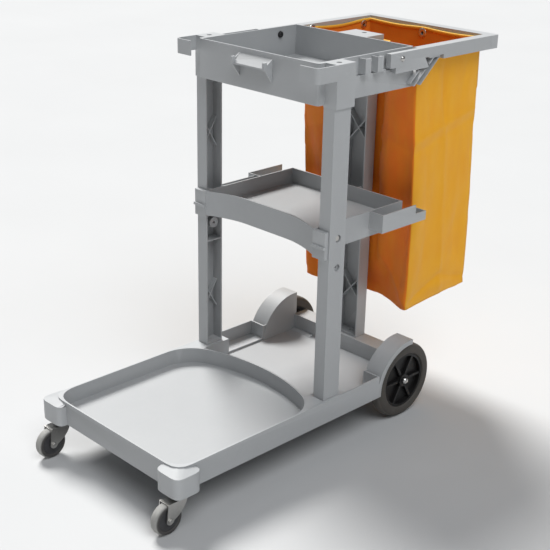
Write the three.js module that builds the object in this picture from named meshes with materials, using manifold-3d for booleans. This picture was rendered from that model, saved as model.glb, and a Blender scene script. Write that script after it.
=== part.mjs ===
// Housekeeping cart: moulded platform on two casters and two large rear wheels, three
// ribbed posts, a middle shelf, a top tray with tool slots, and a tip-up frame that
// carries a vinyl waste bag. Millimetres, +Z up, +Y towards the bag, X across the cart.
// Lengths along Y are measured from the front wall of the platform; the last line of the
// model moves the origin to the floor under the middle of the whole cart.
import * as THREE from 'three';
import { mergeVertices } from 'three/addons/utils/BufferGeometryUtils.js';
import Module from 'manifold-3d';

const wasm = await Module();
wasm.setup();

// ---- Driving dimensions -------------------------------------------------------------
const wall = 4; // moulded wall
const fit = 0.3; // gap between a piece and its seat
const slack = 0.5; // gap around a pin, tenon or plug
const screwRadius = 3;
const screwHeadRadius = 5.5;
const screwHead = 3;

const platform = {
  halfWidth: 237, length: 832, rim: 156, skirt: 96,
  trayFloor: 115, deckFloor: 112, ledgeFloor: 118,
  trayCorner: 62, trayRearCorner: 95, traySide: 355, trayRear: 476,
  corner: 40, deckHalfWidth: 186, deckRear: 782, padRear: 531, padRoof: 140,
};
const horn = {
  inner: 180, outer: 258, front: -20, back: 53, corner: 20, shoulder: 145, slope: 33, bottom: 94,
  segments: 3,
};
const stemBoss = { radius: 20, gap: 5 };
const post = { outer: 230, width: 34, front: 462, depth: 53, joint: 870, socket: 10, tenon: 24 };
// One low crossed pair of ribs in each half of a post, and a plate under the shelf in the front pair.
const cross = { levels: [291, 729], halfHeight: 38, reach: 14, rearReach: 20, plate: 450 };
const rearPost = { halfWidth: 38, front: 792, depth: 36 };
const rib = 3; // webs inside the posts and under the trays
const shelf = {
  halfWidth: 191, top: 589, bottom: 525, floor: 549, front: 482, cheek: 450, bend: 100,
  rear: 765, screwLevel: 566, spareLevel: 494, screwY: 491, clipReach: 226,
  clipRib: 5,
};
const bracket = {
  outer: 234, front: 642, back: 765, lipEnd: 806, floor: 551, lip: 566, bottom: 543, lipInner: 203,
  bayOuter: 212, bayFront: 519, wall: 3,
};
const topTray = {
  inner: 188, front: 441, skirt: 198, rear: 761, rim: 968, floor: 893, bottom: 875, step: 925,
};
const column = { inner: 195, outer: 234, front: 462, back: 521 };
const band = { front: 400, inner: 180, bottom: 933, corner: 14, thick: 3.5 };
const rearSocket = { halfWidth: 46, back: 831, skin: 3 };
const tooth = { starts: [575, 617], length: 19, outer: 214, bottom: 929, top: 964, thick: 3 };
const pocket = { back: 645, floor: 931 };
const frontHook = { halfWidth: 55, front: 418, top: 957, bar: 936, foot: 900, nub: 950, nubWidth: 6 };
const pivot = { y: 704, z: 949, radius: 4, head: 7, boss: 11, nut: 7, nutRadius: 8.5 };
const arm = {
  outer: 213, thick: 13.5, wideInner: 187, wideFront: 772, front: 662, top: 964, bottom: 931,
  deepFront: 682, deepBack: 803, deepBottom: 917, notchFront: 788, notchBack: 858, support: 941,
};
const rearBar = { front: 1046, back: 1076, halfWidth: 214 };
const gusset = { front: 740, low: 779, back: 846, bottom: 878, roof: 913, shelfFront: 806, web: 3 };
const bag = {
  topHalf: 185, bottomHalf: 187, top: 958, bottom: 272, thick: 2,
  topFront: 790, topBack: 1043, bottomFront: 818, bottomBack: 1076,
  notchHalf: 62, notchRun: 40, notchY: 842,
};
const stud = { radius: 3.5, head: 12, headThick: 2, reach: 1 + fit, rear: [1016, 943], front: [815, 951], barZ: 943 };
const wheel = {
  radius: 101.6, y: 778, outer: 226, width: 35, rimRadius: 74, shoulder: 10, segments: 40,
  archGap: 14.4, archEnd: 788, lipGap: 5, lip: 3.5,
};
const axle = { radius: 6, boss: 15 };
const caster = {
  radius: 38.1, width: 24, hubRadius: 27, shoulder: 6, segments: 28, stemX: 222, stemY: 10, trail: 33,
  plate: 80, plateFront: 38, plateBack: 15, leg: 2.5, stemRadius: 5.5,
};

const sides = [['left', -1], ['right', 1]];

// ---- Finishes -------------------------------------------------------------------------
const finish = (color, roughness, metalness = 0) => new THREE.MeshStandardMaterial({ color, roughness, metalness });
const greyPlastic = finish('#9a9f9f', 0.5);
const blackPlastic = finish('#1d1d1f', 0.45);
const vinyl = finish('#e29a2a', 0.55);
const tyreRubber = finish('#56504b', 0.8);
const casterRubber = finish('#a8a399', 0.75);
const hubGrey = finish('#3a3a3d', 0.5);
const zinc = finish('#b9bbbb', 0.35, 1);

// ---- Shape helpers ----------------------------------------------------------------------
// A closed three.js geometry as a solid that can be joined and cut.
function solid(geometry) {
  geometry.deleteAttribute('normal');
  geometry.deleteAttribute('uv');
  const merged = mergeVertices(geometry, 1e-4);
  return new wasm.Manifold(new wasm.Mesh({
    numProp: 3,
    vertProperties: new Float32Array(merged.attributes.position.array),
    triVerts: new Uint32Array(merged.index.array),
  }));
}

const join = (pieces) => pieces.reduce((whole, piece) => whole.add(piece));
const cut = (body, tools) => tools.reduce((rest, tool) => rest.subtract(tool), body);
const low = (a, b) => Math.min(a, b);

function block(x0, x1, y0, y1, z0, z1) {
  const geometry = new THREE.BoxGeometry(Math.abs(x1 - x0), y1 - y0, z1 - z0);
  return solid(geometry.translate((x0 + x1) / 2, (y0 + y1) / 2, (z0 + z1) / 2));
}

// An outline from corners [x, y, radius], each corner rounded where it has a radius.
function outline(corners) {
  const shape = new THREE.Shape();
  const at = (i) => new THREE.Vector2(...corners[(i + corners.length) % corners.length]);
  corners.forEach(([, , radius = 0], i) => {
    const corner = at(i);
    const towards = (other) => other.clone().sub(corner).setLength(Math.max(radius, 1e-9)).add(corner);
    const before = towards(at(i - 1));
    const after = towards(at(i + 1));
    if (i === 0) shape.moveTo(before.x, before.y);
    else shape.lineTo(before.x, before.y);
    if (radius > 0) shape.quadraticCurveTo(corner.x, corner.y, after.x, after.y);
  });
  return shape;
}

const rectangle = (x0, x1, y0, y1, r = 0) => outline([[x0, y0, r], [x1, y0, r], [x1, y1, r], [x0, y1, r]]);

function extrude(shape, depth, curveSegments = 6) {
  return new THREE.ExtrudeGeometry(shape, { depth, bevelEnabled: false, curveSegments });
}

// A plan outline (x, y) raised from z0 to z1.
const raised = (shape, z0, z1, segments) => solid(extrude(shape, z1 - z0, segments).translate(0, 0, z0));

// A side-view outline (y, z) drawn out across the cart between two x values.
function across(shape, xa, xb, segments) {
  const geometry = extrude(shape, Math.abs(xb - xa), segments);
  const turn = new THREE.Matrix4().makeBasis(
    new THREE.Vector3(0, 1, 0), new THREE.Vector3(0, 0, 1), new THREE.Vector3(1, 0, 0));
  return solid(geometry.applyMatrix4(turn).translate(low(xa, xb), 0, 0));
}

// A round bar between two points on a line along one axis ('x', 'y' or 'z').
function bar(radius, axis, from, to, [a, b], segments = 12) {
  const geometry = new THREE.CylinderGeometry(radius, radius, Math.abs(to - from), segments);
  const middle = (from + to) / 2;
  if (axis === 'x') return solid(geometry.rotateZ(Math.PI / 2).translate(middle, a, b));
  if (axis === 'y') return solid(geometry.translate(a, middle, b));
  return solid(geometry.rotateX(Math.PI / 2).translate(a, b, middle));
}

// A profile of [radius, x] points turned around an axis along X through (y, z).
function turned(profile, y, z, segments) {
  const points = profile.map(([r, x]) => new THREE.Vector2(r, x));
  return solid(new THREE.LatheGeometry(points, segments).rotateZ(-Math.PI / 2).translate(0, y, z));
}

// Rings of equal count, each anticlockwise from above, skinned and closed at both ends.
function loft(rings) {
  const count = rings[0].length;
  const positions = rings.flat();
  const centre = (ring) => ring.reduce((sum, p) => sum.map((v, k) => v + p[k] / count), [0, 0, 0]);
  const index = [];
  const first = positions.push(centre(rings[0])) - 1;
  const last = positions.push(centre(rings[rings.length - 1])) - 1;
  const top = (rings.length - 1) * count;
  for (let i = 0; i < count; i++) {
    const next = (i + 1) % count;
    index.push(first, next, i, last, top + i, top + next);
    for (let k = 0; k < top; k += count) {
      index.push(k + i, k + next, k + count + next, k + i, k + count + next, k + count + i);
    }
  }
  const geometry = new THREE.BufferGeometry();
  geometry.setAttribute('position', new THREE.Float32BufferAttribute(positions.flat(), 3));
  geometry.setIndex(index);
  return solid(geometry);
}

const cart = new THREE.Group();

function add(name, shape, material) {
  const { vertProperties, triVerts } = shape.getMesh();
  const geometry = new THREE.BufferGeometry();
  geometry.setAttribute('position', new THREE.BufferAttribute(new Float32Array(vertProperties), 3));
  geometry.setIndex(new THREE.BufferAttribute(new Uint32Array(triVerts), 1));
  geometry.computeVertexNormals();
  const mesh = new THREE.Mesh(geometry, material);
  mesh.name = name;
  cart.add(mesh);
}

// ---- Platform ------------------------------------------------------------------------------
// The outline of the front tray, grown by an offset: square front corners with a small
// radius, and a bowed rear edge that runs into two large corners without a kink.
function trayOutline(grow) {
  const half = platform.halfWidth - wall + grow;
  const front = wall - grow;
  const corner = platform.trayCorner + grow;
  const radius = platform.trayRearCorner + grow;
  const centreX = half - radius;
  const rise = platform.trayRear + grow - platform.traySide;
  const bow = (centreX ** 2 + rise ** 2 - radius ** 2) / (2 * (rise - radius));
  const centreY = platform.trayRear + grow - bow;
  const turn = Math.atan2(platform.traySide - centreY, centreX);
  const shape = new THREE.Shape();
  shape.moveTo(-half + corner, front);
  shape.lineTo(half - corner, front);
  shape.quadraticCurveTo(half, front, half, front + corner);
  shape.lineTo(half, platform.traySide);
  shape.absarc(centreX, platform.traySide, radius, 0, turn);
  shape.absarc(0, centreY, bow, turn, Math.PI - turn);
  shape.absarc(-centreX, platform.traySide, radius, Math.PI - turn, Math.PI);
  shape.lineTo(-half, front + corner);
  shape.quadraticCurveTo(-half, front, -half + corner, front);
  return shape;
}

// One rounded ring of a corner horn, pulled in on its two outer sides by `inset`.
function hornRing(side, inset, z) {
  const outer = horn.outer - inset;
  const front = horn.front + inset;
  const radius = Math.min(horn.corner, (outer - horn.inner) / 2 - 1);
  const shape = rectangle(horn.inner, outer, front, horn.back, radius);
  const points = shape.extractPoints(horn.segments).shape.map((p) => [side * p.x, p.y, z]);
  return side > 0 ? points : points.reverse();
}

function cornerHorn(side) {
  const rings = [[0, horn.bottom], [0, horn.shoulder], [horn.slope, platform.rim]];
  const body = loft(rings.map(([inset, z]) => hornRing(side, inset, z)));
  const boss = bar(stemBoss.radius, 'z', caster.plate + stemBoss.gap, horn.bottom + 1,
    [side * caster.stemX, caster.stemY], 20);
  return body.add(boss);
}

// The arch over a rear wheel: a curved band from the deck to just past the top of the
// wheel, with a flat inner wall that closes it towards the deck.
const archInner = wheel.outer - wheel.width - 3 - wall;
const archRadius = wheel.radius + wheel.archGap;
const archFoot = wheel.y - archRadius - wall;

function archShape(radius) {
  const end = Math.acos((wheel.archEnd - wheel.y) / radius);
  const shape = new THREE.Shape();
  shape.moveTo(wheel.archEnd, platform.skirt);
  shape.lineTo(wheel.archEnd, wheel.radius + radius * Math.sin(end));
  shape.absarc(wheel.y, wheel.radius, radius, end, Math.PI);
  shape.lineTo(wheel.y - radius, platform.skirt);
  return shape;
}

// The arch as a solid, and the well cut into it: wide inside, narrower at the outer lip.
function wheelArch(side) {
  const lipInner = platform.halfWidth - wheel.lip;
  const outside = across(archShape(archRadius + wall), side * archInner, side * platform.halfWidth, 14);
  const inside = across(archShape(archRadius), side * (archInner + wall), side * lipInner, 14);
  const mouth = across(archShape(wheel.radius + wheel.lipGap), side * (lipInner - 1), side * (platform.halfWidth + 1), 14);
  return [outside, inside.add(mouth)];
}

function platformBody() {
  const p = platform;
  const half = p.halfWidth;
  const plan = outline([[-half, 0, p.corner], [half, 0, p.corner], [half, p.length, 3], [-half, p.length, 3]]);
  let body = raised(plan, p.skirt, p.rim, 4);
  for (const [, side] of sides) body = body.add(cornerHorn(side));

  // Recesses in the top: front tray, rear deck and the raised ledges beside it.
  body = body.subtract(raised(trayOutline(0), p.trayFloor, p.rim + 1, 8));
  const deck = block(-p.deckHalfWidth, p.deckHalfWidth, p.traySide, p.deckRear, p.deckFloor, p.rim + 1);
  body = body.subtract(deck.subtract(raised(trayOutline(wall), 0, p.rim + 2, 8)));
  for (const [, side] of sides) {
    const ledge = [side * (p.deckHalfWidth - 1), side * (half - wall)];
    body = body.subtract(block(...ledge, p.padRear, archFoot, p.ledgeFloor, p.rim + 1));
  }

  // Hollow underside, ribbed, and higher under the post pads and the rear rim.
  const roofs = [
    [-half + wall, half - wall, wall, p.traySide, p.trayFloor - wall],
    [-half + wall, half - wall, p.traySide, archFoot - wall, p.deckFloor - rib],
    [-archInner, archInner, archFoot - wall, p.deckRear + wall + 1, p.deckFloor - rib],
    [-archInner, archInner, p.deckRear + wall, p.length - wall, p.padRoof],
  ];
  const hollow = join(roofs.map(([x0, x1, y0, y1, z1]) => block(x0, x1, y0, y1, p.skirt - 1, z1)));
  const ribs = [-120, -60, 60, 120].map((x) => block(x - rib / 2, x + rib / 2, 0, p.length, p.skirt, p.rim));
  ribs.push(...[160, 320, 470, 620].map((y) => block(-half, half, y - rib / 2, y + rib / 2, p.skirt, p.rim)));
  body = body.subtract(cut(hollow, ribs));

  for (const [, side] of sides) {
    const outerX = side * (half + 1);
    const innerX = side * (archInner + wall);
    const [arch, well] = wheelArch(side);
    body = body.subtract(block(innerX, outerX, archFoot + wall, p.length + 1, p.skirt - 1, p.rim + 1));
    body = body.subtract(block(side * archInner, outerX, wheel.archEnd, p.length + 1, p.skirt - 1, p.rim + 1));
    body = body.add(arch).subtract(well);
    body = body.add(block(side * (archInner - 6), side * (archInner + wall), wheel.archEnd - 8, p.length, p.skirt, p.rim));
    body = body.add(bar(axle.boss, 'x', side * 110, side * (archInner + wall), [wheel.y, wheel.radius], 20));
    const stemBore = bar(caster.stemRadius + fit, 'z', 0, 134, [side * caster.stemX, caster.stemY], 12);
    body = body.subtract(stemBore);
  }
  return body;
}

function postSockets() {
  const depth = platform.rim - post.socket;
  const tools = [];
  for (const [, side] of sides) {
    const x = [side * (post.outer - post.width - slack), side * (post.outer + slack)];
    tools.push(block(...x, post.front - slack, post.front + post.depth + slack, depth, platform.rim + 1));
    tools.push(bar(screwRadius + fit, 'z', platform.skirt, platform.rim, footScrew(side)));
  }
  const half = rearPost.halfWidth + slack;
  const back = rearPost.front + rearPost.depth + slack;
  tools.push(block(-half, half, rearPost.front - slack, back, depth, platform.rim + 1));
  tools.push(bar(screwRadius + fit, 'z', platform.skirt, platform.rim, rearScrew()));
  return tools;
}

const footScrew = (side) => [side * (post.outer - post.width / 2), post.front + post.depth / 2];
const rearScrew = () => [0, rearPost.front + rearPost.depth / 2];

const axleBore = bar(axle.radius + fit, 'x', -platform.halfWidth, platform.halfWidth, [wheel.y, wheel.radius], 16);
const padRoofs = join(sides.map(([, side]) => block(
  side * (platform.deckHalfWidth + wall), side * (platform.halfWidth - wall),
  platform.trayRear, platform.padRear - wall, platform.skirt - 1, platform.padRoof)));
add('platform', cut(platformBody(), [axleBore, padRoofs, ...postSockets()]), greyPlastic);

// ---- Posts -----------------------------------------------------------------------------------
// Crossed pairs of webs between two flanges, one pair at each level. Drawn in a plane (u, z).
function crossWebs(u0, u1) {
  const run = u1 - u0;
  const tilt = Math.atan2(2 * cross.halfHeight, run);
  const length = Math.hypot(2 * cross.halfHeight, run);
  return cross.levels.flatMap((level) => [[level, tilt, length], [level, -tilt, length]]);
}

function webSolid([middle, tilt, length], centre, depth, alongX) {
  const size = alongX ? [length, depth, rib] : [depth, length, rib];
  const geometry = new THREE.BoxGeometry(...size);
  if (alongX) geometry.rotateY(-tilt);
  else geometry.rotateX(tilt);
  return geometry.translate(centre[0], centre[1], middle);
}

const postFoot = platform.rim - post.socket;
const footBlock = 16;

function frontPost(side) {
  const inner = post.outer - post.width;
  const back = post.front + post.depth;
  const webX = [side * (post.outer - wall / 2), side * (post.outer - wall - cross.reach)];
  const shell = block(side * inner, side * post.outer, post.front, back, postFoot, post.joint);
  const open = block(side * (inner - 1), side * (post.outer - wall), post.front + wall, back - wall,
    postFoot + footBlock, post.joint - wall);
  const middle = [(webX[0] + webX[1]) / 2, (post.front + back) / 2];
  const webs = crossWebs(post.front + wall, back - wall)
    .map((web) => solid(webSolid(web, middle, Math.abs(webX[0] - webX[1]), false)));
  const webbing = join(webs).intersect(
    block(webX[0], webX[1], post.front + 1, back - 1, postFoot + 1, post.joint - 1));
  const plate = block(side * (post.outer - wall / 2), side * inner, post.front + 1, back - 1,
    cross.plate - rib, cross.plate);
  const bosses = [shelf.screwLevel, shelf.spareLevel].map((z) => (
    bar(14, 'x', side * (post.outer - wall), side * (inner + wall), [shelf.screwY, z], 16)));
  const boresAt = [shelf.screwLevel, shelf.spareLevel];
  const recess = boresAt.map((z) => bar(9, 'x', side * (post.outer + 1), side * (post.outer - 6), [shelf.screwY, z]));
  const bores = boresAt.map((z) => bar(screwRadius + fit, 'x', side * inner, side * post.outer, [shelf.screwY, z]));
  const plug = tenon(side);
  const footBore = bar(screwRadius + fit, 'z', postFoot - 1, postFoot + footBlock + 1, footScrew(side));
  return cut(join([shell.subtract(open), webbing, plate, ...bosses, plug]), [...recess, ...bores, footBore, topBore(side)]);
}

const tenonInset = 6;
function tenon(side) {
  const x = [side * (post.outer - post.width + tenonInset), side * (post.outer - tenonInset)];
  const y = [post.front + tenonInset, post.front + post.depth - tenonInset];
  return block(...x, ...y, post.joint - 1, post.joint + post.tenon);
}

const topBore = (side) => bar(screwRadius + fit, 'z', post.joint - wall - 1, topTray.rim, footScrew(side));

function rearPostBody() {
  const half = rearPost.halfWidth;
  const back = rearPost.front + rearPost.depth;
  const shell = block(-half, half, rearPost.front, back, postFoot, post.joint);
  const open = block(-half + wall, half - wall, rearPost.front - 1, back - wall, postFoot + footBlock, post.joint - wall);
  const middle = [0, back - wall / 2 - cross.rearReach / 2];
  const webs = crossWebs(-half + wall, half - wall)
    .map((web) => solid(webSolid(web, middle, cross.rearReach, true)));
  const webbing = join(webs).intersect(
    block(-half + 1, half - 1, rearPost.front + 2, back - 1, postFoot + 1, post.joint - 1));
  const plug = block(-half + tenonInset, half - tenonInset, rearPost.front + tenonInset, back - tenonInset,
    post.joint - 1, post.joint + post.tenon);
  const bore = bar(screwRadius + fit, 'z', postFoot - 1, postFoot + footBlock + 1, rearScrew());
  const upper = bar(screwRadius + fit, 'z', post.joint - wall - 1, topTray.rim, rearScrew());
  return cut(join([shell.subtract(open), webbing, plug]), [bore, upper]);
}

for (const [name, side] of sides) add(`front_post_${name}`, frontPost(side), greyPlastic);
add('rear_post', rearPostBody(), greyPlastic);

// ---- Middle shelf --------------------------------------------------------------------------------
// Plan of the shelf. Its front edge sits back in the middle and sweeps forward past the posts.
function shelfPlan(inset) {
  const half = shelf.halfWidth - inset;
  const back = shelf.rear - inset;
  const middle = shelf.front + inset;
  const cheek = shelf.cheek + inset;
  const shape = new THREE.Shape();
  shape.moveTo(half, back);
  shape.lineTo(-half, back);
  shape.lineTo(-half, cheek);
  shape.bezierCurveTo(-half + 24, cheek + 10, -shelf.bend - 20, middle, -shelf.bend + 30, middle);
  shape.lineTo(shelf.bend - 30, middle);
  shape.bezierCurveTo(shelf.bend + 20, middle, half - 24, cheek + 10, half, cheek);
  return shape;
}

const shelfWall = 3.5;
function shelfBody() {
  const s = shelf;
  let body = raised(shelfPlan(0), s.bottom, s.top, 7);
  body = body.subtract(raised(shelfPlan(shelfWall), s.floor, s.top + 1, 7));
  body = body.subtract(raised(shelfPlan(shelfWall), s.bottom - 1, s.floor - shelfWall, 7));
  const clipFront = s.cheek;
  for (const [, side] of sides) {
    const clipX = [side * (s.halfWidth - 4), side * s.clipReach];
    body = body.add(block(...clipX, clipFront, post.front - fit, s.bottom - 5, s.top - 2));
    body = body.add(block(...clipX, clipFront - s.clipRib, clipFront + 1, s.floor - 3, s.floor + 4));
    body = body.add(block(side * (s.halfWidth - shelfWall), side * (post.outer - post.width - fit),
      s.screwY - 13, s.screwY + 13, s.screwLevel - 13, s.screwLevel + 13));
    body = body.add(sideBracket(side));
    body = body.subtract(bar(screwRadius + fit, 'x', side * (s.halfWidth - 10), side * post.outer,
      [s.screwY, s.screwLevel]));
    const rearClip = block(side * (rearPost.halfWidth - 9), side * (rearPost.halfWidth - 5),
      s.rear - 1, rearPost.front - fit, s.bottom, s.top - 6);
    body = body.add(rearClip);
  }
  return body;
}

// The outboard holder beside the shelf: a box open at the top, with a low lip at the back.
function sideBracket(side) {
  const b = bracket;
  const t = b.wall;
  const shellX = [side * (shelf.halfWidth - 1), side * b.outer];
  const spaceX = [side * shelf.halfWidth, side * (b.outer - t)];
  const box = block(...shellX, b.front, b.back, b.bottom, shelf.top);
  const lip = block(side * b.lipInner, shellX[1], b.back - 1, b.lipEnd, b.bottom, b.lip);
  const space = block(...spaceX, b.front + t, b.back + 1, b.floor, shelf.top + 1);
  const lipSpace = block(side * (b.lipInner + t), spaceX[1], b.back - 2, b.lipEnd - t, b.floor, shelf.top);
  const holder = cut(box.add(lip), [space, lipSpace]);
  return side < 0 ? holder.add(frontBay(side)) : holder;
}

// The left holder has one more bay in front, narrower, between the box and the post.
function frontBay(side) {
  const b = bracket;
  const box = block(side * (shelf.halfWidth - 1), side * b.bayOuter, b.bayFront, b.front + 1, b.bottom, shelf.top - 3);
  return box.subtract(block(side * shelf.halfWidth, side * (b.bayOuter - b.wall),
    b.bayFront + b.wall, b.front, b.floor, shelf.top));
}
add('mid_shelf', shelfBody(), greyPlastic);

// ---- Top tray ----------------------------------------------------------------------------------------
function topTrayShell() {
  const t = topTray;
  const outer = t.inner + wall;
  const back = t.rear + wall;
  const tray = block(-outer, outer, t.front, back, t.bottom, t.rim);
  const skirts = block(-t.skirt, t.skirt, t.front + wall, t.rear, t.bottom, t.step);
  const face = raised(rectangle(-t.skirt, t.skirt, t.front, t.front + 24, 9), t.bottom, t.rim);
  const inside = block(-t.inner, t.inner, t.front + wall, t.rear, t.floor, t.rim + 1);
  const under = block(-t.skirt + wall, t.skirt - wall, t.front + wall, t.rear, t.bottom - 1, t.floor - wall);
  const besides = sides.map(([, side]) => (
    block(side * outer, side * (t.skirt - wall), t.front + wall, t.rear, t.bottom - 1, t.step - rib)));
  const ribs = [-94, 0, 94].map((x) => block(x - rib / 2, x + rib / 2, t.front + 1, t.rear + 1, t.bottom + 3, t.floor - 1));
  ribs.push(...[520, 600, 680].map((y) => block(-outer, outer, y - rib / 2, y + rib / 2, t.bottom + 3, t.floor - 1)));
  return cut(join([tray, skirts, face]), [inside, under, ...besides]).add(join(ribs));
}

// The hollow column over a front post, and the band that wraps the corner in front of it.
function cornerColumn(side) {
  const c = column;
  const skin = band.thick;
  const shell = block(side * c.inner, side * c.outer, c.front, c.back, post.joint, topTray.rim);
  const hollow = block(side * (c.inner + skin), side * (c.outer - skin), c.front + skin, c.back - skin,
    post.joint - 1, topTray.rim - wall);
  const boss = bar(screwRadius + wall, 'z', post.joint + post.tenon, topTray.rim - 1, footScrew(side));
  const deckTop = block(side * (topTray.inner + 1), side * c.outer, topTray.front + wall, c.back,
    topTray.rim - wall, topTray.rim);
  const top = deckTop.subtract(block(side * topTray.skirt, side * c.outer, 0, c.front, 0, topTray.rim + 1));
  const path = outline([
    [side * band.inner, band.front], [side * c.outer, band.front, band.corner], [side * c.outer, c.back],
    [side * (c.outer - skin), c.back], [side * (c.outer - skin), band.front + skin, band.corner - skin],
    [side * band.inner, band.front + skin],
  ]);
  return join([shell.subtract(hollow), boss, top, raised(path, band.bottom, topTray.rim, 4)]);
}

// Hooked teeth along the right side of the tray, and one long pocket along the left.
function toolTeeth(side) {
  const root = topTray.inner + 1;
  if (side < 0) {
    const pocketWall = [side * tooth.outer, column.back - 1, pocket.back];
    const shell = block(side * root, pocketWall[0], pocketWall[1], pocketWall[2], tooth.bottom, topTray.rim - 2);
    return shell.subtract(block(side * topTray.inner, side * (tooth.outer - tooth.thick), column.back,
      pocket.back - tooth.thick, pocket.floor, topTray.rim));
  }
  const pieces = tooth.starts.flatMap((start) => [
    block(side * root, side * tooth.outer, start, start + tooth.thick, tooth.bottom, tooth.top),
    block(side * (tooth.outer - tooth.thick), side * tooth.outer, start, start + tooth.length, tooth.bottom, tooth.top),
  ]);
  pieces.push(block(side * root, side * 206, 640, 655, tooth.bottom - 1, tooth.bottom + 2));
  pieces.push(block(side * root, side * 206, 637, 640, tooth.bottom - 1, tooth.top - 2));
  return join(pieces);
}

// The bracket behind each corner of the tray on which the tip-up frame comes to rest.
function restBracket(side) {
  const g = gusset;
  const rest = arm.support;
  const profile = outline([
    [g.front, g.bottom], [g.low, g.bottom], [g.back, rest - wall], [g.back, rest],
    [g.shelfFront, rest], [g.shelfFront, g.roof], [g.front, g.roof],
  ]);
  const inner = topTray.inner + wall;
  const outer = arm.outer - 2;
  const web = across(profile, side * inner, side * (inner + g.web));
  const full = across(profile, side * inner, side * outer);
  const slope = Math.atan2(rest - wall - g.bottom, g.back - g.low);
  const slats = [0, 24, 48].map((shift) => {
    const plate = new THREE.BoxGeometry(outer - inner, 240, rib).rotateX(slope);
    return solid(plate.translate(side * (inner + outer) / 2, (g.low + g.back) / 2 - shift, (g.bottom + rest - wall) / 2));
  });
  const shelfTop = block(side * inner, side * outer, g.shelfFront, g.back, rest - wall, rest);
  const tie = block(side * (topTray.inner + 1), side * (inner + g.web), topTray.rear - 30, topTray.rear + wall,
    g.bottom, g.roof);
  return join([web, join(slats).intersect(full), shelfTop, tie]);
}

// The hook for a hanging tag or a mop band: a sloped lip on two cheeks with a nub each.
function hookLip() {
  const h = frontHook;
  const face = topTray.front + 1;
  const cheek = outline([[h.front, h.bar - 4], [h.front, h.bar + 4], [face, h.top], [face, h.foot]]);
  const ramp = outline([[h.front, h.bar - 4], [h.front, h.bar], [face, h.top], [face, h.top - 5]]);
  const pieces = [across(ramp, -h.halfWidth, h.halfWidth)];
  for (const [, side] of sides) {
    pieces.push(across(cheek, side * (h.halfWidth - rib), side * h.halfWidth));
    pieces.push(block(side * (h.halfWidth - h.nubWidth), side * h.halfWidth, h.front - 4, h.front + 6, h.bar - 4, h.nub));
  }
  return join(pieces);
}

// The socket that takes the head of the rear post behind the tray.
function rearSocketBody() {
  const { skin } = rearSocket;
  const half = rearSocket.halfWidth;
  const face = topTray.rear + wall;
  const shell = block(-half, half, face - 1, rearSocket.back, post.joint, topTray.rim);
  const hollow = block(-half + skin, half - skin, face + skin, rearSocket.back - skin, post.joint - 1, topTray.rim - wall);
  const boss = bar(screwRadius + wall, 'z', post.joint + post.tenon, topTray.rim - 1, rearScrew());
  return shell.subtract(hollow).add(boss);
}

function topFrameBody() {
  const pieces = [topTrayShell(), hookLip(), rearSocketBody()];
  const cuts = [];
  for (const [, side] of sides) {
    pieces.push(cornerColumn(side), toolTeeth(side), restBracket(side));
    const bossEnd = arm.outer - arm.thick - fit;
    pieces.push(bar(pivot.boss, 'x', side * (topTray.inner + 1), side * bossEnd, [pivot.y, pivot.z], 18));
    cuts.push(bar(pivot.radius + fit, 'x', side * (topTray.inner - 1), side * (bossEnd + 1), [pivot.y, pivot.z]));
    cuts.push(...topScrewSeat(footScrew(side)));
  }
  cuts.push(...topScrewSeat(rearScrew()));
  return cut(join(pieces), cuts);
}

const seatDepth = 7;
function topScrewSeat(at) {
  return [
    bar(screwHeadRadius + 1, 'z', topTray.rim - seatDepth, topTray.rim + 1, at, 16),
    bar(screwRadius + fit, 'z', post.joint, topTray.rim, at),
  ];
}
add('top_frame', topFrameBody(), greyPlastic);

// ---- Screws ---------------------------------------------------------------------------------------------
function topScrew(at) {
  const seat = topTray.rim - seatDepth;
  return bar(screwHeadRadius, 'z', seat, seat + screwHead, at, 16)
    .add(bar(screwRadius, 'z', post.joint + 2, seat + 1, at));
}

function footScrewBody(at) {
  const seat = platform.padRoof;
  return bar(screwHeadRadius, 'z', seat - screwHead, seat, at, 16)
    .add(bar(screwRadius, 'z', seat - 1, postFoot + footBlock - 2, at));
}

function shelfScrew(side) {
  const seat = side * (post.outer - 6);
  const at = [shelf.screwY, shelf.screwLevel];
  return bar(screwHeadRadius + 1, 'x', seat, seat + side * screwHead, at, 16)
    .add(bar(screwRadius, 'x', seat + side, side * (shelf.halfWidth - 2), at));
}

for (const [name, side] of sides) {
  add(`top_screw_${name}`, topScrew(footScrew(side)), zinc);
  add(`foot_screw_${name}`, footScrewBody(footScrew(side)), zinc);
  add(`shelf_screw_${name}`, shelfScrew(side), zinc);
}
add('top_screw_rear', topScrew(rearScrew()), zinc);
add('foot_screw_rear', footScrewBody(rearScrew()), zinc);

// ---- Tip-up bag frame --------------------------------------------------------------------------------------
function frameArm(side) {
  const a = arm;
  const skin = 3;
  const inner = a.outer - a.thick;
  const notch = a.support + fit;
  const profile = outline([
    [a.front, a.bottom], [a.deepFront, a.bottom], [a.deepFront, a.deepBottom], [a.deepBack, a.deepBottom],
    [a.notchFront, notch], [a.notchBack, notch], [a.notchBack, a.bottom], [rearBar.back - 3, a.bottom],
    [rearBar.back - 3, a.top], [a.front, a.top],
  ]);
  const plate = across(profile, side * inner, side * a.outer);
  const wide = block(side * a.wideInner, side * (inner + 1), a.wideFront, rearBar.back - 3, notch, a.top);
  const flange = block(side * a.wideInner, side * (inner + 1), a.notchBack, rearBar.back - 3, a.bottom, a.top);
  const groove = block(side * (a.wideInner + skin), side * (a.outer - skin), a.notchBack + skin, rearBar.front - 1,
    a.bottom - 1, a.top - skin);
  const bore = bar(pivot.radius + fit, 'x', side * (inner - 1), side * (a.outer + 1), [pivot.y, pivot.z]);
  return cut(join([plate, wide, flange]), [groove, bore]);
}

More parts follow.
